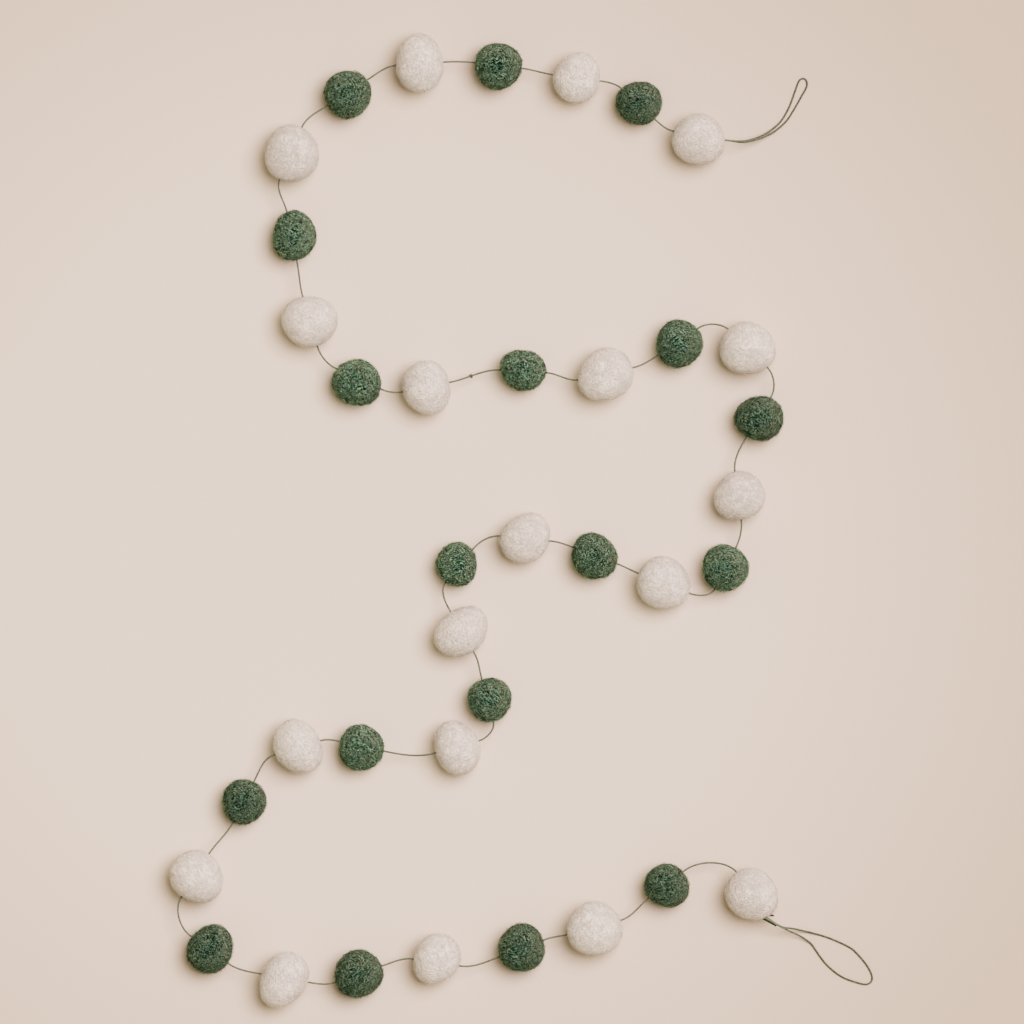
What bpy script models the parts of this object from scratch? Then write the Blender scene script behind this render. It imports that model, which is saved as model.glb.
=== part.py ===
"""Felt ball garland: cream and green felt balls threaded on one string that ends in a loop at each end.

Everything lies on the floor plane z = 0. The tables are read in picture units of half a millimetre, with y down.
"""

import math

import bmesh
import bpy
import numpy as np

UNIT = 0.0005
PICTURE_HEIGHT = 1024
MM = 0.001

# One row a ball, from the upper loop to the lower one. Odd rows are cream and even rows are green.
# x, y: centre. wide, tall: outline. lean: how far the top point leans right, in mm.
# corner: the way one of the three soft corners points, in degrees.
BALLS = [
    # x, y, wide, tall, lean, corner
    (698.5, 139.8, 53, 52, 0, 80),
    (639.3, 102.7, 47, 44, 0, 40),
    (577, 78, 47, 52, 1, 60),
    (498.3, 66, 48, 48, 0, 20),
    (419.7, 63.6, 47, 61, 0, 90),
    (347.9, 94.2, 48, 49, 0, 30),
    (291.7, 153.9, 55, 58, 0, 100),
    (294.3, 236, 44.4, 51.3, 0.5, 105),
    (309.6, 321.1, 57.6, 50.7, 0, 30),
    (356.9, 382.7, 50, 48, -0.5, 70),
    (426.5, 387.6, 48.4, 56.1, -1, 60),
    (523.2, 369.9, 46.9, 41.9, -1, 30),
    (605.7, 374.7, 55.5, 54.6, 1.5, 90),
    (679.2, 343.8, 47, 49.3, 0, 0),
    (747.4, 348.4, 57, 52.9, 0, 100),
    (759.7, 418.4, 50.5, 45, 0, 60),
    (739.5, 496, 51.9, 49.3, 1, 95),
    (725.2, 567.9, 47.2, 47.8, -0.5, 0),
    (663.4, 583.1, 53.6, 53.6, -0.5, 90),
    (594.3, 556.3, 46.2, 47.5, -1, 105),
    (525.5, 538, 50.6, 51, 2, 60),
    (456.9, 564.1, 40.6, 46, -0.5, 60),
    (461.2, 631.8, 55.4, 51, 3.8, 60),
    (489.7, 699.4, 45, 44.6, 0, 30),
    (457.3, 748.1, 46.2, 56.4, -2, 10),
    (361.2, 747.8, 45.5, 47.6, 0, 110),
    (297.8, 746.5, 50.4, 55.2, -2.5, 85),
    (244.1, 801.8, 44.7, 46.2, 0, 10),
    (196.7, 876.6, 54.6, 53, -1.5, 70),
    (210.5, 949.1, 46.9, 50.4, 1.5, 60),
    (283.6, 979.5, 49.8, 57.1, 3, 0),
    (358.6, 973.8, 49.1, 49.1, 0.5, 110),
    (436.7, 958.4, 48.5, 51.3, 2, 110),
    (521.7, 947.8, 46.9, 49.8, 0, 80),
    (594.7, 929, 55.7, 55.5, 0, 90),
    (666.9, 885.7, 45.7, 44.2, -1, 75),
    (751.8, 894.3, 54.1, 52.2, -1, 80),
]

# One row a ball: where the string goes in, and where it comes out.
HOLES = [
    # in x, in y, out x, out y
    (725.8, 140.2, 673.5, 131.2),
    (655.6, 119.9, 622.1, 88.9),
    (600.5, 81, 553.3, 74.8),
    (523.1, 68.5, 474.1, 62.7),
    (443.4, 62.1, 396.3, 65.3),
    (367.5, 79.8, 325, 107),
    (302, 127, 279.5, 179.7),
    (286.8, 211.9, 297, 261.6),
    (302.7, 296.3, 317.1, 345.8),
    (335.3, 368.1, 381.9, 389.5),
    (404.2, 391.7, 451.1, 382.1),
    (500.4, 370, 546.6, 372.7),
    (579.5, 379.7, 633.4, 367.6),
    (658, 355.1, 698.4, 328),
    (729.4, 330.2, 767.3, 367.4),
    (771.1, 396.9, 745.6, 438.6),
    (734.8, 471, 741.2, 519.1),
    (735.4, 548.7, 715, 589),
    (689.5, 593.4, 639.8, 573.9),
    (616.5, 563.5, 571.6, 546.7),
    (550.9, 541, 501, 535.9),
    (473.3, 548.7, 445.3, 582.9),
    (450, 610.7, 474.6, 653.7),
    (481.6, 678.1, 493.5, 721.7),
    (479.1, 740.8, 434.4, 753.3),
    (384.6, 751.2, 339, 741.2),
    (319.9, 740.8, 273, 755.5),
    (254.6, 780.2, 233.5, 821.7),
    (208.9, 854, 181, 897.3),
    (189.8, 935.4, 227.6, 963.1),
    (259.4, 973.7, 309.8, 982.5),
    (334.1, 982.7, 383.2, 965.6),
    (412.9, 958.9, 461, 966.1),
    (498.3, 957.3, 545.2, 939.5),
    (566.9, 934.6, 620.5, 920.4),
    (649.7, 897.2, 684.8, 870.4),
    (739, 875.1, 764.5, 918),
]

# The upper loop, out along one strand, round its tip and back. Height is in mm.
UPPER_LOOP = [
    # x, y, height
    (733.5, 140.9, 12),
    (740.5, 141.1, 10.7),
    (746.9, 140.4, 8.9),
    (759, 136.4, 5.4),
    (767, 132.6, 3.2),
    (772.4, 129, 1.9),
    (781.3, 121, 0.6),
    (789.3, 107, 0.5),
    (794.7, 93, 0.5),
    (797.9, 85.9, 0.5),
    (800.8, 80.6, 0.5),
    (804, 78.7, 0.5),
    (806.2, 81.3, 0.5),
    (805.9, 86, 0.5),
    (802.4, 93.6, 0.5),
    (794.1, 109.5, 0.5),
    (785.8, 121.9, 0.6),
    (774.3, 132.1, 1.6),
    (769.2, 134.9, 2.9),
    (760.3, 139, 5),
    (746.9, 142.4, 8),
    (740.5, 142.3, 9.5),
    (733.5, 141.3, 10.7),
]

# The lower loop, in the same way.
LOWER_LOOP = [
    # x, y, height
    (768.4, 918.6, 12),
    (774.1, 922.6, 10.6),
    (781.8, 926.8, 8.2),
    (785.6, 927.8, 7),
    (793.3, 928.6, 4.7),
    (800.9, 930.3, 2.8),
    (808.6, 932, 1.4),
    (823.2, 936, 0.5),
    (835.7, 940.7, 0.5),
    (850, 947.4, 0.5),
    (856.7, 953.7, 0.5),
    (865.3, 963.2, 0.5),
    (870.1, 970.9, 0.5),
    (872.5, 978, 0.5),
    (871, 982.4, 0.5),
    (866.3, 984.6, 0.5),
    (857.7, 982.8, 0.5),
    (845.2, 978.5, 0.5),
    (835.7, 972.8, 0.5),
    (826.1, 964.2, 0.5),
    (819.4, 955.6, 0.5),
    (814.6, 948.6, 0.5),
    (810.5, 943, 1),
    (800.9, 936.4, 2.9),
    (795.2, 933.7, 4.4),
    (789.4, 931, 6.5),
    (785.6, 929, 8.2),
    (781.8, 927.4, 9.4),
    (774.1, 923.2, 11.8),
    (768, 919.4, 13.1),
]

# Two cut ends of string that leave the last ball beside the lower loop.
LONG_TAIL = [
    # x, y, height
    (766.3, 921.2, 12.2),
    (770.5, 924.3, 11.3),
    (775.3, 927.4, 10.1),
]
SHORT_TAIL = [
    # x, y, height
    (765.8, 920.4, 10.3),
    (768.6, 919.1, 9.3),
    (771, 916.8, 8.7),
    (773.7, 915.3, 8.4),
]

FELT_FLATTEN = 0.98
FELT_SINK = 0.075
CORNER_BULGE = 0.03
FACET_SWELL = 1.008
SIDES = 14
RING_ANGLES = (20, 40, 60, 80, 100, 120, 140, 160)
SHARP_ANGLE = math.radians(50)

STRING_RADIUS = 0.4 * MM
BORE = 0.75 * MM
UPPER_END_BORE = 1.3 * MM
LOWER_END_BORE = 1.55 * MM
STACK = 0.56 * MM
CROSS = 0.8 * MM
SAG = 0.12
GAP_STEP = 4.6 * MM
LOOP_STEPS = 2
TAIL_STEPS = 2
BEVEL_STEPS = 2
KNOT_BALL = 11
KNOT_ALONG = 0.39
KNOT_STEPS = (-0.07, -0.035, 0, 0.035, 0.07)
KNOT_SWELL = 1.3
KNOT_HALF_LENGTH = 0.045

FELT_ROUGHNESS = 0.95
STRING_ROUGHNESS = 0.9
CREAM = (0.75, 0.66, 0.54, 1)
GREEN = (0.06, 0.14, 0.075, 1)
STRING_GREEN = (0.26, 0.27, 0.17, 1)


def on_floor(x, y, height=0.0):
    return np.array([x * UNIT, (PICTURE_HEIGHT - y) * UNIT, height])


def unit(vector):
    return vector / np.linalg.norm(vector)


class Ball:
    def __init__(self, index):
        x, y, wide, tall, lean, corner = BALLS[index]
        in_x, in_y, out_x, out_y = HOLES[index]
        half_wide = wide * UNIT / 2
        half_tall = tall * UNIT / 2
        half_high = FELT_FLATTEN * (half_wide + half_tall) / 2
        shear = lean * MM * half_tall
        spread = np.array([[half_wide**2, shear, 0], [shear, half_tall**2, 0], [0, 0, half_high**2]])
        self.squash = np.linalg.inv(spread)
        self.height = half_high * (1 - FELT_SINK)
        self.centre = on_floor(x, y, self.height)
        self.corner = math.radians(corner)
        self.enter = on_floor(in_x, in_y, self.height)
        self.leave = on_floor(out_x, out_y, self.height)
        self.axis = unit(self.leave - self.enter)
        self.right = np.array([self.axis[1], -self.axis[0], 0])
        self.pivot = self.enter + self.axis * ((self.centre - self.enter) @ self.axis)
        self.bore = {0: UPPER_END_BORE, len(BALLS) - 1: LOWER_END_BORE}.get(index, BORE)

    def reach(self, direction):
        """How far the felt's surface is from the pivot in this direction."""
        offset = self.pivot - self.centre
        square = direction @ self.squash @ direction
        half_slope = direction @ self.squash @ offset
        rest = offset @ self.squash @ offset - 1
        distance = (math.sqrt(half_slope**2 - square * rest) - half_slope) / square
        turn = math.atan2(direction[1], direction[0])
        corners = math.cos(3 * (turn - self.corner)) * (1 - direction[2] ** 2)
        return distance * (1 + CORNER_BULGE * corners) * FACET_SWELL

    def ring(self, polar, rim=False):
        """One ring of points round the bore's axis. On a rim they are at the bore's own radius."""
        points = []
        for side in range(SIDES):
            around = 2 * math.pi * (side + 0.5) / SIDES
            radial = self.right * math.sin(around) - np.array([0, 0, math.cos(around)])
            direction = self.axis * math.cos(polar) + radial * math.sin(polar)
            if rim:
                point = self.pivot + direction @ self.axis * self.reach(direction) * self.axis
                point = point + radial * self.bore
            else:
                point = self.pivot + direction * self.reach(direction)
            points.append([point[0], point[1], max(point[2], 0)])
        return points

    def rings(self):
        near = math.asin(self.bore / self.reach(self.axis))
        far = math.pi - math.asin(self.bore / self.reach(-self.axis))
        angles = [math.radians(angle) for angle in RING_ANGLES]
        return [self.ring(near, rim=True)] + [self.ring(angle) for angle in angles] + [self.ring(far, rim=True)]

    def inside(self, share, right=0.0, up=0.0):
        """A point in the bore, at this share of the way from where the string goes in."""
        along = self.enter + (self.leave - self.enter) * share
        return along + self.right * right + np.array([0, 0, up])


def felt_ball(name, rings, material):
    shape = bmesh.new()
    loops = [[shape.verts.new(point) for point in ring] for ring in rings]
    for ring, following in zip(loops, loops[1:] + loops[:1]):
        for side in range(SIDES):
            beside = (side + 1) % SIDES
            shape.faces.new((ring[side], ring[beside], following[beside], following[side]))
    bmesh.ops.recalc_face_normals(shape, faces=shape.faces)
    mesh = bpy.data.meshes.new(name)
    shape.to_mesh(mesh)
    shape.free()
    mesh.shade_smooth()
    mesh.set_sharp_from_angle(angle=SHARP_ANGLE)
    mesh.materials.append(material)
    bpy.context.scene.collection.objects.link(bpy.data.objects.new(name, mesh))


def gap_point(start, end, leaving, entering, share):
    """A point of the slack string between two balls. It leaves and meets each along that ball's bore."""
    span = np.linalg.norm(end - start)
    square = share * share
    cube = square * share
    point = (2 * cube - 3 * square + 1) * start + (3 * square - 2 * cube) * end
    point = point + ((cube - 2 * square + share) * leaving + (cube - square) * entering) * span
    return point - np.array([0, 0, SAG * span * math.sin(math.pi * share) ** 2])


def through(points, steps):
    """Points along a smooth curve through these ones, with this many steps between each pair."""
    points = np.array(points)
    padded = np.vstack([2 * points[0] - points[1], points, 2 * points[-1] - points[-2]])
    found = []
    for before, start, end, after in zip(padded, padded[1:], padded[2:], padded[3:]):
        for step in range(steps):
            share = step / steps
            found.append(
                start
                + share * (end - before) / 2
                + share**2 * (before - 2.5 * start + 2 * end - after / 2)
                + share**3 * (1.5 * (start - end) + (after - before) / 2)
            )
    return found + [points[-1]]


def string_tube(name, points, radii, material):
    curve = bpy.data.curves.new(name, "CURVE")
    curve.dimensions = "3D"
    curve.bevel_depth = STRING_RADIUS
    curve.bevel_resolution = BEVEL_STEPS
    curve.use_fill_caps = True
    spline = curve.splines.new("POLY")
    spline.points.add(len(points) - 1)
    for place, point, radius in zip(spline.points, points, radii):
        place.co = (*point, 1)
        place.radius = radius
    curve.materials.append(material)
    bpy.context.scene.collection.objects.link(bpy.data.objects.new(name, curve))


def plain_material(name, colour, roughness):
    material = bpy.data.materials.new(name)
    material.use_nodes = True
    shader = material.node_tree.nodes["Principled BSDF"]
    shader.inputs["Base Color"].default_value = colour
    shader.inputs["Roughness"].default_value = roughness
    return material


def heights_in_mm(rows):
    return [on_floor(x, y, height * MM) for x, y, height in rows]


def main_string(balls):
    """Points and radii of the one string, from inside the first ball to inside the last."""
    first = balls[0]
    last = balls[-1]
    upper = [first.inside(0.33, 0, STACK), first.inside(0.15, 0, STACK), first.inside(0, 0, STACK)]
    upper += heights_in_mm(UPPER_LOOP)
    upper += [first.inside(0, 0, -STACK), first.inside(0.15, 0, -STACK)]
    points = through(upper, LOOP_STEPS) + [first.inside(0.4, 0, -STACK), first.leave]
    radii = [1.0] * len(points)
    for number, (ball, following) in enumerate(zip(balls, balls[1:]), start=1):
        steps = max(3, round(np.linalg.norm(following.enter - ball.leave) / GAP_STEP))
        shares = [step / steps for step in range(1, steps)]
        if number == KNOT_BALL:
            shares = [share for share in shares if abs(share - KNOT_ALONG) > 2 * max(KNOT_STEPS)]
            shares = sorted(shares + [KNOT_ALONG + step for step in KNOT_STEPS])
        for share in shares:
            points.append(gap_point(ball.leave, following.enter, ball.axis, following.axis, share))
            away = (share - KNOT_ALONG) / KNOT_HALF_LENGTH
            radii.append(1 + KNOT_SWELL * math.exp(-away * away) * (number == KNOT_BALL))
        points.append(following.enter)
        radii.append(1.0)
        if following is not last:
            points.append(following.leave)
            radii.append(1.0)
    points.append(last.inside(0.5, -CROSS, 0))
    lower = [last.inside(0.85, -CROSS, 0), last.inside(1, -CROSS, 0)]
    lower += heights_in_mm(LOWER_LOOP)
    lower += [last.inside(1, 0, CROSS), last.inside(0.85, 0, CROSS), last.inside(0.62, 0, CROSS)]
    points += through(lower, LOOP_STEPS)
    return points, radii + [1.0] * (len(points) - len(radii))


def tail(last, right, up, rows):
    inner = [last.inside(0.7, right, up), last.inside(0.85, right, up), last.inside(1, right, up)]
    return through(inner + heights_in_mm(rows), TAIL_STEPS)


def build():
    for item in list(bpy.data.objects):
        bpy.data.objects.remove(item, do_unlink=True)
    balls = [Ball(index) for index in range(len(BALLS))]
    rings = [ball.rings() for ball in balls]
    corners = np.array([point for ball in rings for ring in ball for point in ring])
    middle = (corners.min(axis=0) + corners.max(axis=0)) / 2
    shift = np.array([middle[0], middle[1], 0])

    cream = plain_material("cream_felt", CREAM, FELT_ROUGHNESS)
    green = plain_material("green_felt", GREEN, FELT_ROUGHNESS)
    twine = plain_material("green_string", STRING_GREEN, STRING_ROUGHNESS)
    for number, ball in enumerate(rings, start=1):
        colour = "cream" if number % 2 else "green"
        placed = [[np.array(point) - shift for point in ring] for ring in ball]
        felt_ball(f"{colour}_ball_{number:02d}", placed, cream if number % 2 else green)

    points, radii = main_string(balls)
    string_tube("string", [point - shift for point in points], radii, twine)
    last = balls[-1]
    for name, right, up, rows in (
        ("string_tail_long", CROSS, 0, LONG_TAIL),
        ("string_tail_short", 0, -CROSS, SHORT_TAIL),
    ):
        points = [point - shift for point in tail(last, right, up, rows)]
        string_tube(name, points, [1.0] * len(points), twine)


build()
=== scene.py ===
import math

import bmesh
import bpy
import numpy as np
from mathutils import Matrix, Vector, noise
from mathutils.bvhtree import BVHTree


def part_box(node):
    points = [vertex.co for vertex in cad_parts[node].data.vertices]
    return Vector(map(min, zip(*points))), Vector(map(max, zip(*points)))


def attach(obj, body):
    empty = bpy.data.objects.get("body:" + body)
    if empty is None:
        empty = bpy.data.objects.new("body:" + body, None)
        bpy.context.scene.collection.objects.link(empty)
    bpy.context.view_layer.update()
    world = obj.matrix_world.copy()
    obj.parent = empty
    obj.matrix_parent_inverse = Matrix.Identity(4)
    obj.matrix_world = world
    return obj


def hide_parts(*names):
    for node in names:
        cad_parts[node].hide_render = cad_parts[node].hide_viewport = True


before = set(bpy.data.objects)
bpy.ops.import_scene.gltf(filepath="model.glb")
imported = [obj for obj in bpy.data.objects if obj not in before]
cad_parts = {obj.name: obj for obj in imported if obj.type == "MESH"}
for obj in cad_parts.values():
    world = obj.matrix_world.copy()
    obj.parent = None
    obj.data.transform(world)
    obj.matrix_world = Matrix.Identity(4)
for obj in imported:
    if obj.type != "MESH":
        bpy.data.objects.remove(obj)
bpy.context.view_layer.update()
scene = bpy.context.scene

# The picture is 1024 units wide, and one unit is half a millimetre on the floor.
picture = {"unit": 0.0005, "width": 1024, "originX": 476.48, "originY": 520.42}


def onFloor(x, y, height=0.0):  # picture units and a height in millimetres
    side = (x - picture["originX"]) * picture["unit"]
    up = (picture["originY"] - y) * picture["unit"]
    return np.array([side, up, height * 0.001])


cameraLook = {"middle": (512, 512), "height": 2500, "farthest": 10}  # it looks straight down on the picture

camera = bpy.data.objects.new("camera", bpy.data.cameras.new("camera"))
camera.data.type = "ORTHO"
camera.data.ortho_scale = picture["width"] * picture["unit"]
camera.location = Vector(onFloor(*cameraLook["middle"], cameraLook["height"]))
camera.data.clip_end = cameraLook["farthest"]
scene.collection.objects.link(camera)
scene.camera = camera


# The string, with a loop at each end.
stringLook = {
    "radius": 0.00046,
    "sides": 8,
    "sag": 0.12,
    "step": 0.0004,  # spacing of its rings
    "twist": 0.0026,  # one full turn of its two plies
    "plyDepth": 0.04,
    "stack": 0.56,  # the two strands in the first ball are this far above and below its middle
    "cross": 0.8,  # the strands in the last ball stand this far from its middle
    "holeHeight": 489,  # millimetres for each metre of the ball's height, so a little under its half
}

# Where the string goes into each ball and where it comes out, from the upper loop to the lower one.
holes = [
    # in x, in y, out x, out y
    (725.8, 140.2, 673.5, 131.2),
    (655.6, 119.9, 622.1, 88.9),
    (600.5, 81, 553.3, 74.8),
    (523.1, 68.5, 474.1, 62.7),
    (443.4, 62.1, 396.3, 65.3),
    (367.5, 79.8, 325, 107),
    (302, 127, 279.5, 179.7),
    (286.8, 211.9, 297, 261.6),
    (302.7, 296.3, 317.1, 345.8),
    (335.3, 368.1, 381.9, 389.5),
    (404.2, 391.7, 451.1, 382.1),
    (500.4, 370, 546.6, 372.7),
    (579.5, 379.7, 633.4, 367.6),
    (658, 355.1, 698.4, 328),
    (729.4, 330.2, 767.3, 367.4),
    (771.1, 396.9, 745.6, 438.6),
    (734.8, 471, 741.2, 519.1),
    (735.4, 548.7, 715, 589),
    (689.5, 593.4, 639.8, 573.9),
    (616.5, 563.5, 571.6, 546.7),
    (550.9, 541, 501, 535.9),
    (473.3, 548.7, 445.3, 582.9),
    (450, 610.7, 474.6, 653.7),
    (481.6, 678.1, 493.5, 721.7),
    (479.1, 740.8, 434.4, 753.3),
    (384.6, 751.2, 339, 741.2),
    (319.9, 740.8, 273, 755.5),
    (254.6, 780.2, 233.5, 821.7),
    (208.9, 854, 181, 897.3),
    (189.8, 935.4, 227.6, 963.1),
    (259.4, 973.7, 309.8, 982.5),
    (334.1, 982.7, 383.2, 965.6),
    (412.9, 958.9, 461, 966.1),
    (498.3, 957.3, 545.2, 939.5),
    (566.9, 934.6, 620.5, 920.4),
    (649.7, 897.2, 684.8, 870.4),
    (739, 875.1, 764.5, 918),
]
upperLoop = [
    # x, y, height
    (733.5, 140.9, 12),
    (740.5, 141.1, 10.7),
    (746.9, 140.6, 8.9),
    (759, 137, 5.4),
    (767, 133, 3.2),
    (772.4, 129.3, 1.9),
    (781.3, 121, 0.6),
    (789.3, 107, 0.5),
    (794.5, 93, 0.5),
    (796.6, 87.1, 0.5),
    (798.1, 82.8, 0.5),
    (799.9, 79.5, 0.5),
    (803, 78, 0.5),
    (806.1, 79.5, 0.5),
    (807.3, 82.8, 0.5),
    (806.8, 87.1, 0.5),
    (803, 93.8, 0.5),
    (794.1, 109.5, 0.5),
    (785.8, 121.9, 0.6),
    (774.3, 131.8, 1.6),
    (769.2, 134.6, 2.9),
    (760.3, 138.6, 5),
    (746.9, 142.2, 8),
    (740.5, 142.3, 9.5),
    (733.5, 141.3, 10.7),
]
lowerLoop = [
    # x, y, height
    (768.4, 918.6, 12),
    (774.1, 922.6, 10.6),
    (781.8, 926.8, 8.2),
    (785.6, 927.8, 7),
    (793.3, 928.6, 4.7),
    (800.9, 930.3, 2.8),
    (808.6, 932, 1.4),
    (823.2, 936, 0.5),
    (835.7, 940.7, 0.5),
    (850.6, 947.9, 0.5),
    (857.5, 954.1, 0.5),
    (865.3, 963.2, 0.5),
    (870.1, 970.9, 0.5),
    (872.5, 978, 0.5),
    (871, 982.4, 0.5),
    (866.3, 984.6, 0.5),
    (857.7, 982.8, 0.5),
    (845.2, 978.5, 0.5),
    (835.7, 972.8, 0.5),
    (826.1, 964.2, 0.5),
    (819.4, 955.6, 0.5),
    (814.6, 948.6, 0.5),
    (810.5, 943, 1),
    (800.9, 936.4, 2.9),
    (795.2, 933.7, 4.4),
    (789.4, 931, 6.5),
    (785.6, 929, 8.2),
    (781.8, 927.4, 9.4),
    (774.1, 923.2, 11.8),
    (768, 919.4, 13.1),
]
longTail = [
    # x, y, height
    (766.5, 920.5, 12.2),
    (771, 923.1, 11.3),
    (776, 925.9, 10.1),
]
shortTail = [
    # x, y, height
    (765, 914.3, 9.3),
    (768.5, 915.9, 9),
    (770.9, 914.8, 8.8),
    (773.7, 915.8, 8.5),
]
ballNames = [f"{'cream' if number % 2 else 'green'}_ball_{number:02d}" for number in range(1, 38)]


def bore(index):  # the two ends of a ball's hole, its direction and its right-hand side
    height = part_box(ballNames[index])[1][2] * stringLook["holeHeight"]
    inX, inY, outX, outY = holes[index]
    start = onFloor(inX, inY, height)
    end = onFloor(outX, outY, height)
    along = (end - start) / np.linalg.norm(end - start)
    return start, end, along, np.array([along[1], -along[0], 0])


def inBore(index, share, right=0.0, up=0.0):
    start, end, along, side = bore(index)
    return start + (end - start) * share + side * right * 0.001 + np.array([0, 0, up * 0.001])


def gapPoint(start, end, leaving, entering, share):  # slack string between two balls
    span = np.linalg.norm(end - start)
    square = share * share
    cube = square * share
    point = (2 * cube - 3 * square + 1) * start + (3 * square - 2 * cube) * end
    point = point + ((cube - 2 * square + share) * leaving + (cube - square) * entering) * span
    return point - np.array([0, 0, stringLook["sag"] * span * math.sin(math.pi * share) ** 2])


def through(points, steps=10):  # a smooth curve through these points
    points = np.array(points)
    padded = np.vstack([2 * points[0] - points[1], points, 2 * points[-1] - points[-2]])
    found = []
    for before, start, end, after in zip(padded, padded[1:], padded[2:], padded[3:]):
        for step in range(steps):
            share = step / steps
            found.append(
                start
                + share * (end - before) / 2
                + share**2 * (before - 2.5 * start + 2 * end - after / 2)
                + share**3 * (1.5 * (start - end) + (after - before) / 2)
            )
    return found + [points[-1]]


def evenly(points, step, passes=12):  # the same line with evenly spaced points and its corners eased
    points = np.array(points)
    travelled = np.concatenate([[0], np.cumsum(np.linalg.norm(np.diff(points, axis=0), axis=1))])
    wanted = np.linspace(0, travelled[-1], max(2, round(travelled[-1] / step)))
    line = np.column_stack([np.interp(wanted, travelled, points[:, axis]) for axis in range(3)])
    for _ in range(passes):
        line[1:-1] = (line[:-2] + 2 * line[1:-1] + line[2:]) / 4
    return line


def placed(rows):
    return [onFloor(x, y, height) for x, y, height in rows]


def stringRoute():
    stack, cross, last = stringLook["stack"], stringLook["cross"], len(holes) - 1
    upper = [inBore(0, share, 0, stack) for share in (0.33, 0.15, 0)] + placed(upperLoop)
    upper += [inBore(0, share, 0, -stack) for share in (0, 0.15)]
    points = through(upper) + [inBore(0, 0.4, 0, -stack), inBore(0, 1)]
    for index in range(last):
        leave, along = bore(index)[1:3]
        enter, _, nextAlong, _ = bore(index + 1)
        points += [gapPoint(leave, enter, along, nextAlong, share) for share in np.linspace(0.05, 0.95, 19)]
        points += [enter] + ([inBore(index + 1, 1)] if index + 1 < last else [])
    points.append(inBore(last, 0.5, -cross, 0))
    lower = [inBore(last, 0.85, -cross, 0), inBore(last, 1, -cross, 0)] + placed(lowerLoop)
    lower += [inBore(last, share, 0, cross) for share in (1, 0.85, 0.62)]
    return points + through(lower)


def tailRoute(right, up, shares, rows):
    return through([inBore(len(holes) - 1, share, right, up) for share in shares] + placed(rows))


def crossSection(sides, radius, depth=0.0):  # with a depth it is the outline of two plies
    curve = bpy.data.curves.new("crossSection", "CURVE")
    spline = curve.splines.new("POLY")
    spline.points.add(sides - 1)
    spline.use_cyclic_u = True
    for place, point in enumerate(spline.points):
        angle = 2 * math.pi * place / sides
        reach = radius * (1 - depth * (1 - math.cos(2 * angle)))
        point.co = (reach * math.cos(angle), reach * math.sin(angle), 0, 1)
    outline = bpy.data.objects.new("crossSection", curve)
    scene.collection.objects.link(outline)
    return outline


def addCurve(name, splines, outline, radii=None, turn=0.0):  # the outline drawn along each line of points
    curve = bpy.data.curves.new(name, "CURVE")
    curve.dimensions = "3D"
    curve.use_fill_caps = True
    curve.bevel_mode = "OBJECT"
    curve.bevel_object = outline
    for place, points in enumerate(splines):
        spline = curve.splines.new("POLY")
        spline.points.add(len(points) - 1)
        spline.points.foreach_set("co", np.column_stack([points, np.ones(len(points))]).ravel())
        spline.points.foreach_set("tilt", np.arange(len(points)) * turn)
        if radii is not None:
            spline.points.foreach_set("radius", radii[place])
    guide = bpy.data.objects.new(name + "_line", curve)
    scene.collection.objects.link(guide)
    mesh = bpy.data.meshes.new_from_object(guide.evaluated_get(bpy.context.evaluated_depsgraph_get()))
    bpy.data.objects.remove(guide)
    bpy.data.curves.remove(curve)
    mesh.name = name
    return mesh


def addPiece(name, mesh, materials):
    for material in materials:
        mesh.materials.append(material)
    mesh.shade_smooth()
    piece = bpy.data.objects.new(name, mesh)
    scene.collection.objects.link(piece)
    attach(piece, "root")
    return piece


# Materials.
def addNode(tree, kind, settings=None, **inputs):
    node = tree.nodes.new("ShaderNode" + kind)
    for key, value in (settings or {}).items():
        setattr(node, key, value)
    for key, value in inputs.items():
        socket = node.inputs[int(key[1:]) if key[0] == "i" and key[1:].isdigit() else key]
        if isinstance(value, bpy.types.NodeSocket):
            tree.links.new(value, socket)
        else:
            socket.default_value = value
    return node


def mixColour(tree, factor, first, second, blend="MIX"):
    node = addNode(tree, "Mix", {"data_type": "RGBA", "blend_type": blend}, i0=factor, i6=first, i7=second)
    return node.outputs[2]


def remap(tree, value, low, high, newLow=0.0, newHigh=1.0):
    return addNode(tree, "MapRange", None, i0=value, i1=low, i2=high, i3=newLow, i4=newHigh).outputs[0]


def newMaterial(name, roughness, sheen=0.0, sheenTint=(1, 1, 1, 1)):
    material = bpy.data.materials.new(name)
    material.use_nodes = True
    tree = material.node_tree
    shader = tree.nodes["Principled BSDF"]
    shader.inputs["Roughness"].default_value = roughness
    shader.inputs["Specular IOR Level"].default_value = 0.15
    shader.inputs["Sheen Weight"].default_value = sheen
    shader.inputs["Sheen Roughness"].default_value = 0.5
    shader.inputs["Sheen Tint"].default_value = sheenTint
    return material, tree, shader


def swirled(tree, place, scale, distance):  # the same place, pushed about a little
    cloud = addNode(tree, "TexNoise", None, Vector=place, Scale=scale, Detail=1.0).outputs[1]
    middle = addNode(tree, "VectorMath", {"operation": "SUBTRACT"}, i0=cloud, i1=(0.5, 0.5, 0.5)).outputs[0]
    push = addNode(tree, "VectorMath", {"operation": "SCALE"}, i0=middle, Scale=distance).outputs[0]
    return addNode(tree, "VectorMath", {"operation": "ADD"}, i0=place, i1=push).outputs[0]


strandLook = {"shift": 0.0001, "length": 5}  # a place of its own for each layer, and how long for its width


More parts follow.
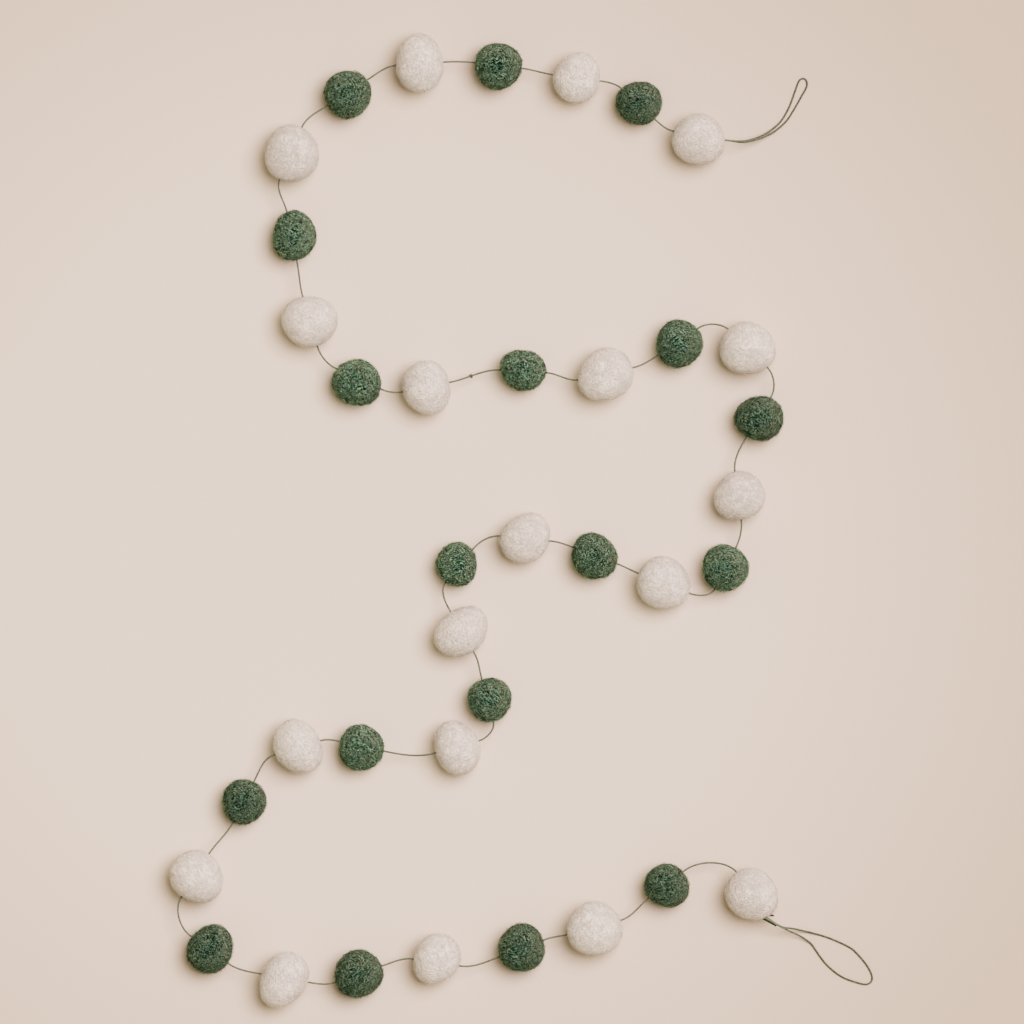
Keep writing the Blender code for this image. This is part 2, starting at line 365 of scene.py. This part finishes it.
def strands(tree, place, turn, scale, low, high):  # fine strands lying mostly one way, 1 on a strand
    turned = addNode(tree, "Mapping", {"vector_type": "TEXTURE"}, Vector=place, Rotation=turn,
                     Location=(scale * strandLook["shift"],) * 3,
                     Scale=(1, 1, strandLook["length"])).outputs[0]
    cloud = addNode(tree, "TexNoise", None, Vector=turned, Scale=scale, Detail=2.0, Roughness=0.5).outputs[0]
    return remap(tree, cloud, low, high)


def addBump(tree, shader, height, distance, strength=1.0):
    bump = addNode(tree, "Bump", None, Height=height, Distance=distance, Strength=strength)
    tree.links.new(bump.outputs[0], shader.inputs["Normal"])


creamLook = {
    "deep": (0.76, 0.72, 0.675, 1), "plain": (0.91, 0.89, 0.87, 1),
    "patchScale": 420, "patch": (0.35, 0.6, 0.2, 1), "grainScale": 2600.0, "swirlScale": 110, "swirl": 0.008,
    "strands": (  # turn, scale, from, to, strength, colour
        ((1.2, 0.3, 0.0), 1400, 0.54, 0.63, 0.85, (0.70, 0.655, 0.60, 1)),
        ((0.1, 1.5, 0.4), 1400, 0.52, 0.62, 0.9, (0.95, 0.94, 0.93, 1)),
        ((1.5, 0.1, 0.9), 1600, 0.56, 0.65, 0.85, (0.72, 0.675, 0.62, 1)),
        ((0.7, 0.9, 0.2), 1600, 0.52, 0.62, 0.9, (0.94, 0.93, 0.92, 1)),
    ),
    "bump": 0.00018, "grainBump": 0.0001,
    "sheen": 0.45, "sheenRough": 0.5, "sheenTint": (1, 0.95, 0.86, 1),
}
greenLook = {
    "deep": (0.014, 0.044, 0.033, 1), "plain": (0.020, 0.064, 0.050, 1),
    "patchScale": 420, "patch": (0.35, 0.6, 0.2, 1), "grainScale": 2600.0, "swirlScale": 110, "swirl": 0.008,
    "strands": (
        ((1.2, 0.3, 0.0), 2300, 0.52, 0.59, 0.7, (0.09, 0.18, 0.145, 1)),
        ((0.1, 1.5, 0.4), 2700, 0.53, 0.59, 0.9, (0.20, 0.35, 0.28, 1)),
        ((1.5, 0.1, 0.9), 2400, 0.52, 0.58, 1.0, (0.005, 0.015, 0.010, 1)),
        ((0.7, 0.9, 0.2), 2900, 0.56, 0.61, 1.0, (0.40, 0.60, 0.50, 1)),
    ),
    "bump": 0.0002, "grainBump": 0.0002,
    "sheen": 0.46, "sheenRough": 0.16, "sheenTint": (0.92, 0.93, 0.70, 1),
}
twineLook = {  # painted shade: a little darker where it lies low near the floor, in the end loops
    "light": (0.26, 0.31, 0.245, 1), "dark": (0.12, 0.15, 0.11, 1), "paintedLowShade": (0.72, 0.73, 0.70, 1),
    "low": 0.002, "high": 0.009, "fleckScale": 1500.0, "flecks": (0.35, 0.65), "bump": 0.0001,
    "tints": {
        # the two tails are tinted darker than the twine, the short one dark brown: painted shade where they
        # leave the last ball
        "twine": (0.97, 0.95, 1, 1), "long_tail": (0.42, 0.50, 0.32, 1),
        "short_tail": (0.28, 0.20, 0.14, 1), "small_knot": (0.5, 0.48, 0.44, 1),
    },
}


def feltMaterial(name, look):
    material, tree, shader = newMaterial(name, 0.95, look["sheen"], look["sheenTint"])
    shader.inputs["Sheen Roughness"].default_value = look["sheenRough"]
    place = addNode(tree, "TexCoord").outputs["Object"]
    patches = addNode(tree, "TexNoise", None, Vector=place, Scale=look["patchScale"], Detail=2.0).outputs[0]
    grain = addNode(tree, "TexNoise", None, Vector=place, Scale=look["grainScale"], Detail=2.0).outputs[0]
    colour = mixColour(tree, remap(tree, patches, *look["patch"]), look["deep"], look["plain"])
    curly = swirled(tree, place, look["swirlScale"], look["swirl"])
    ratio = look["grainBump"] / look["bump"]
    height = addNode(tree, "Math", {"operation": "MULTIPLY"}, i0=grain, i1=ratio).outputs[0]
    for turn, scale, low, high, strength, tint in look["strands"]:
        strand = strands(tree, curly, turn, scale, low, high)
        share = addNode(tree, "Math", {"operation": "MULTIPLY"}, i0=strand, i1=strength).outputs[0]
        colour = mixColour(tree, share, colour, tint)
        height = addNode(tree, "Math", {"operation": "ADD"}, i0=strand, i1=height).outputs[0]
    tone = addNode(tree, "Attribute", {"attribute_name": "tone"}).outputs["Fac"]
    tree.links.new(mixColour(tree, 1.0, colour, tone, "MULTIPLY"), shader.inputs["Base Color"])
    addBump(tree, shader, height, look["bump"])
    return material


def fibreMaterial(name, style):
    material, tree, shader = newMaterial(name, 0.8, 0.1)
    shade = addNode(tree, "Attribute", {"attribute_name": "shade"}).outputs["Fac"]
    tone = addNode(tree, "Attribute", {"attribute_name": "tone"}).outputs["Fac"]
    colour = mixColour(tree, shade, style["dark"], style["light"])
    tree.links.new(mixColour(tree, 1.0, colour, tone, "MULTIPLY"), shader.inputs["Base Color"])
    return material


def twineMaterial(name):
    material, tree, shader = newMaterial(name + "_yarn", 0.85, 0.2)
    place = addNode(tree, "TexCoord").outputs["Object"]
    flecks = addNode(tree, "TexNoise", None, Vector=place, Scale=twineLook["fleckScale"], Detail=3.0).outputs[0]
    fleck = remap(tree, flecks, *twineLook["flecks"])
    colour = mixColour(tree, fleck, twineLook["dark"], twineLook["light"])
    height = addNode(tree, "SeparateXYZ", None, i0=place).outputs[2]
    # painted shade: the twine's colour is darkened where it lies low, near the floor
    low = remap(tree, height, twineLook["low"], twineLook["high"], 1, 0)
    colour = mixColour(tree, low, colour, twineLook["paintedLowShade"], "MULTIPLY")
    colour = mixColour(tree, 1.0, colour, twineLook["tints"][name], "MULTIPLY")
    tree.links.new(colour, shader.inputs["Base Color"])
    addBump(tree, shader, flecks, twineLook["bump"])
    return material


plies = crossSection(stringLook["sides"], stringLook["radius"], stringLook["plyDepth"])
plyTurn = 2 * math.pi * stringLook["step"] / stringLook["twist"]
route = evenly(stringRoute(), stringLook["step"])
string = addPiece("twine", addCurve("twine", [route], plies, turn=plyTurn), [twineMaterial("twine")])
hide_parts("string")
for name, node, points in (
    ("long_tail", "string_tail_long", tailRoute(stringLook["cross"], 0, (0.7, 0.85, 1), longTail)),
    ("short_tail", "string_tail_short", tailRoute(0, -stringLook["cross"], (0.5, 0.62), shortTail)),
):
    points = evenly(points, stringLook["step"])
    piece = addPiece(name, addCurve(name, [points], plies, turn=plyTurn), [twineMaterial(name)])
    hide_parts(node)
bpy.data.objects.remove(plies)

knotLook = {"gap": 11, "along": 0.4, "size": 0.00025, "strand": 0.0003, "turn": 160, "stretch": 1.25}


def addKnot():  # a small overhand knot pulled tight round the string
    leave, along = bore(knotLook["gap"] - 1)[1:3]
    enter, _, nextAlong, _ = bore(knotLook["gap"])
    centre = gapPoint(leave, enter, along, nextAlong, knotLook["along"])
    turn = math.radians(knotLook["turn"])
    points = []
    for step in range(41):  # a trefoil, the line of an overhand knot
        angle = 2 * math.pi * step / 40
        x = (math.sin(angle) + 2 * math.sin(2 * angle)) * knotLook["stretch"]
        y = math.cos(angle) - 2 * math.cos(2 * angle)
        z = -1.1 * math.sin(3 * angle)
        points.append([x * math.cos(turn) - y * math.sin(turn), x * math.sin(turn) + y * math.cos(turn), z])
    points = np.array(points) * knotLook["size"] + centre
    strand = crossSection(stringLook["sides"], knotLook["strand"])
    knot = addPiece("small_knot", addCurve("small_knot", [points], strand), [twineMaterial("small_knot")])
    bpy.data.objects.remove(strand)
    return knot


knot = addKnot()


# The felt balls, each a lump of felt with fibres on it.
bodyLook = {
    "subdivisions": 4, "smoothing": 2, "lumps": 0.007, "lumpSize": 1.9, "dents": 0.006, "dentSize": 4.5,
    "grain": 0.0025, "grainSize": 8, "dimple": 0.0007, "dimpleWidth": 7, "rayStart": 0.06, "stray": 0.8,
    "fuzz": {"cream": -0.00005, "green": 0.0002},  # the felt's own surface lies this far in, below its fuzz
}
tones = (  # some balls are a little darker or paler than the others of their colour
    (0.86, (2, 16, 28, 30, 32, 34, 36)), (1.1, (8, 10, 12, 18, 22, 26)), (0.94, (1, 7, 17, 37)),
)
fibreStyles = {  # loose fibres rise from the felt and go back in, free ones stand up at one end
    "creamLying": {"count": 200, "points": 4, "step": 0.0011, "curl": 0.5, "radius": 0.00007,
                   "lift": 0.0001, "tuck": 0.0001, "free": False, "darker": 1,
                   "light": (0.93, 0.915, 0.90, 1), "dark": (0.73, 0.68, 0.625, 1)},
    "creamLoose": {"count": 220, "points": 5, "step": 0.0009, "curl": 0.4, "radius": 0.00006,
                   "lift": 0.0006, "tuck": 0.0001, "free": False, "darker": 1,
                   "light": (0.92, 0.90, 0.87, 1), "dark": (0.80, 0.75, 0.70, 1)},
    "creamFree": {"count": 350, "points": 3, "step": 0.0007, "curl": 0.3, "radius": 0.00006,
                  "lift": 0.0010, "tuck": 0.0001, "free": True, "darker": 1,
                  "light": (0.92, 0.90, 0.87, 1), "dark": (0.82, 0.77, 0.72, 1)},
    "greenLying": {"count": 560, "points": 4, "step": 0.0009, "curl": 0.35, "radius": 0.00007,
                   "lift": 0.00016, "tuck": 0.0001, "free": False, "darker": 3,
                   "light": (0.54, 0.84, 0.73, 1), "dark": (0.006, 0.032, 0.022, 1)},
    "greenLoose": {"count": 420, "points": 5, "step": 0.0009, "curl": 0.45, "radius": 0.00007,
                   "lift": 0.0008, "tuck": 0.0001, "free": False, "darker": 2.5,
                   "light": (0.35, 0.62, 0.48, 1), "dark": (0.012, 0.054, 0.036, 1)},
    "greenFree": {"count": 700, "points": 3, "step": 0.0007, "curl": 0.3, "radius": 0.00007,
                  "lift": 0.0012, "tuck": 0.0001, "free": True, "darker": 1,
                  "light": (0.68, 0.84, 0.58, 1), "dark": (0.20, 0.30, 0.18, 1)},
}
fibreLook = {
    "sides": 3, "lowest": -0.82,  # none starts nearer to the underside, which is -1
    "strides": (0.6, 1.3), "leastRise": 0.2, "thickness": (0.7, 1.25),  # shares of the style's own values
    "calming": 0.9, "wander": 0.35,  # how the curl goes on from point to point
    "floorGap": 0.0002,
}

sphere = bmesh.new()
bmesh.ops.create_icosphere(sphere, subdivisions=bodyLook["subdivisions"], radius=1)
directions = np.array([vertex.co[:] for vertex in sphere.verts])
edges = np.array([[vertex.index for vertex in edge.verts] for edge in sphere.edges])
neighbours = np.bincount(edges.ravel())


def spread(values):  # each point's mean of its neighbours
    total = np.bincount(edges[:, 0], values[edges[:, 1]], len(values))
    total += np.bincount(edges[:, 1], values[edges[:, 0]], len(values))
    return total / neighbours


def relief(size, seed):
    shift = Vector((seed * 7.3, seed * 3.1, seed * 1.7))
    return np.array([noise.noise(Vector(direction) * size + shift) for direction in directions])


def ballReach(node, middle, seed):  # how far the felt reaches from its middle, for each direction
    tree = BVHTree.FromObject(node, bpy.context.evaluated_depsgraph_get())
    start = bodyLook["rayStart"]
    reach = np.empty(len(directions))
    for place, direction in enumerate(directions):
        away = Vector(direction)
        distance = tree.ray_cast(middle + away * start, -away)[3]
        reach[place] = start - distance if distance else 0
    usual = np.median(reach)
    reach[reach < bodyLook["stray"] * usual] = usual  # these rays went down a hole
    for _ in range(bodyLook["smoothing"]):
        reach = (reach + spread(reach)) / 2
    lumps = bodyLook["lumps"] * relief(bodyLook["lumpSize"], seed)
    dents = bodyLook["dents"] * relief(bodyLook["dentSize"], seed + 50)
    grain = bodyLook["grain"] * relief(bodyLook["grainSize"], seed + 90)
    return reach * (1 + lumps + dents + grain)


def addDimples(reach, middle, index):
    start, end, _, _ = bore(index)
    for hole in (start, end):
        toward = hole - np.array(middle)
        toward /= np.linalg.norm(toward)
        angle = np.degrees(np.arccos(np.clip(directions @ toward, -1, 1)))
        reach -= bodyLook["dimple"] * np.exp(-((angle / bodyLook["dimpleWidth"]) ** 2))
    return reach


def fibreLines(chance, style, middle, reach):  # curly fibres that run over the felt
    count = style["count"]
    heading = chance.normal(size=(count, 3))
    heading /= np.linalg.norm(heading, axis=1)[:, None]
    heading[:, 2] = np.maximum(heading[:, 2], fibreLook["lowest"])
    heading /= np.linalg.norm(heading, axis=1)[:, None]
    tangent = np.cross(heading, chance.normal(size=(count, 3)))
    tangent /= np.linalg.norm(tangent, axis=1)[:, None]
    curl = chance.normal(0, style["curl"], count)
    stride = style["step"] * chance.uniform(*fibreLook["strides"], count)
    raised = style["lift"] * chance.uniform(fibreLook["leastRise"], 1, count)
    mean = reach.mean()
    lines = np.empty((count, style["points"], 3))
    for place in range(style["points"]):
        share = place / (style["points"] - 1)
        nearest = np.argmax(heading @ directions.T, axis=1)
        if style["free"]:
            height = raised * share**1.5 - style["tuck"] * (1 - share)
        else:
            height = raised * math.sin(math.pi * share) - style["tuck"] * abs(2 * share - 1)
        lines[:, place] = np.array(middle) + heading * (reach[nearest] + height)[:, None]
        side = np.cross(heading, tangent)
        tangent = tangent * np.cos(curl)[:, None] + side * np.sin(curl)[:, None]
        heading = heading + tangent * (stride / mean)[:, None]
        heading /= np.linalg.norm(heading, axis=1)[:, None]
        tangent -= heading * np.sum(tangent * heading, axis=1)[:, None]
        tangent /= np.linalg.norm(tangent, axis=1)[:, None]
        curl = curl * fibreLook["calming"] + chance.normal(0, style["curl"] * fibreLook["wander"], count)
    lines[:, :, 2] = np.maximum(lines[:, :, 2], fibreLook["floorGap"])
    return lines


def fibreMesh(name, chance, lines, style):
    count, points = lines.shape[:2]
    taper = np.sin(np.pi * (np.arange(points) + 0.6) / (points + 0.2))
    radii = chance.uniform(*fibreLook["thickness"], count)[:, None] ** 2 * taper
    outline = crossSection(fibreLook["sides"], style["radius"])
    mesh = addCurve(name, lines, outline, radii)
    bpy.data.objects.remove(outline)
    shade = np.repeat(chance.uniform(0, 1, count) ** style["darker"], len(mesh.vertices) // count)
    mesh.attributes.new("shade", "FLOAT", "POINT").data.foreach_set("value", shade)
    return mesh


felts = {"cream": feltMaterial("creamFelt", creamLook), "green": feltMaterial("greenFelt", greenLook)}
fibres = {name: fibreMaterial(name + "Fibre", style) for name, style in fibreStyles.items()}


def addBall(index):
    name = ballNames[index]
    colour = name.split("_")[0]
    chance = np.random.default_rng(index + 1)
    low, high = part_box(name)
    middle = (Vector(low) + Vector(high)) / 2
    reach = ballReach(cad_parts[name], middle, index + 1) - bodyLook["fuzz"][colour]
    reach = addDimples(reach, middle, index)
    body = sphere.copy()
    for vertex, direction, far in zip(body.verts, directions, reach):
        vertex.co = middle + Vector(direction) * far
        vertex.co.z = max(vertex.co.z, 0)
    kinds = [colour + style for style in ("Lying", "Loose", "Free")]
    for place, kind in enumerate(kinds):
        lines = fibreLines(chance, fibreStyles[kind], middle, reach)
        hairs = fibreMesh("hairs", chance, lines, fibreStyles[kind])
        hairs.polygons.foreach_set("material_index", [place + 1] * len(hairs.polygons))
        body.from_mesh(hairs)
        bpy.data.meshes.remove(hairs)
    mesh = bpy.data.meshes.new(name)
    body.to_mesh(mesh)
    body.free()
    tone = next((value for value, numbers in tones if index + 1 in numbers), 1.0)
    mesh.attributes.new("tone", "FLOAT", "POINT").data.foreach_set("value", [tone] * len(mesh.vertices))
    piece = addPiece("felt_" + name, mesh, [felts[colour]] + [fibres[kind] for kind in kinds])
    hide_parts(name)


for index in range(len(ballNames)):
    addBall(index)
print("felt balls made")


# Floor and light.
floorLook = {  # painted shade: it darkens evenly from near to far, away from its middle
    "size": 6, "colour": (0.775, 0.705, 0.648, 1), "paintedEdgeShade": (0.60, 0.525, 0.465, 1),
    "middle": (380, 540), "near": 0.14, "far": 0.42,
}
lightLook = {
    "sunPower": 2.94, "sunSpread": 40, "sunElevation": 68, "sunBearing": 34, "sunColour": (1, 0.805, 0.795),
    "fillPower": 0.16, "fillSpread": 60, "fillElevation": 10, "fillBearing": 214,
    "fillColour": (1, 0.93, 0.75),
    "skyPower": 0.28, "skyColour": (1, 0.89, 0.6, 1),
}

grid = bmesh.new()
bmesh.ops.create_grid(grid, x_segments=1, y_segments=1, size=floorLook["size"] / 2)
floorMesh = bpy.data.meshes.new("floor")
grid.to_mesh(floorMesh)
grid.free()
floor = bpy.data.objects.new("floor", floorMesh)
scene.collection.objects.link(floor)
paper, paperTree, paperShader = newMaterial("paleFloor", 0.9)
place = addNode(paperTree, "TexCoord").outputs["Object"]
away = addNode(paperTree, "VectorMath", {"operation": "DISTANCE"}, i0=place,
               i1=onFloor(*floorLook["middle"])).outputs[1]
# painted shade: the floor's colour darkens away from its middle
edge = addNode(paperTree, "MapRange", {"interpolation_type": "SMOOTHSTEP"}, i0=away, i1=floorLook["near"],
               i2=floorLook["far"]).outputs[0]
paperTree.links.new(mixColour(paperTree, edge, floorLook["colour"], floorLook["paintedEdgeShade"]),
                    paperShader.inputs["Base Color"])
floorMesh.materials.append(paper)

for name in ("sun", "fill"):  # a soft main light from the upper right, a weak low one from the lower left
    light = bpy.data.objects.new(name, bpy.data.lights.new(name, "SUN"))
    light.data.energy = lightLook[name + "Power"]
    light.data.angle = math.radians(lightLook[name + "Spread"])
    light.data.color = lightLook[name + "Colour"]
    elevation = math.radians(lightLook[name + "Elevation"])
    bearing = math.radians(lightLook[name + "Bearing"])
    toward = Vector((math.cos(elevation) * math.cos(bearing), math.cos(elevation) * math.sin(bearing),
                     math.sin(elevation)))
    light.rotation_euler = toward.to_track_quat("Z", "Y").to_euler()
    scene.collection.objects.link(light)

sky = bpy.data.worlds.new("sky")
sky.use_nodes = True
sky.node_tree.nodes["Background"].inputs[0].default_value = lightLook["skyColour"]
sky.node_tree.nodes["Background"].inputs[1].default_value = lightLook["skyPower"]
scene.world = sky
scene.view_settings.view_transform = "Filmic"
scene.view_settings.look = "Very High Contrast"
print("floor and light made")
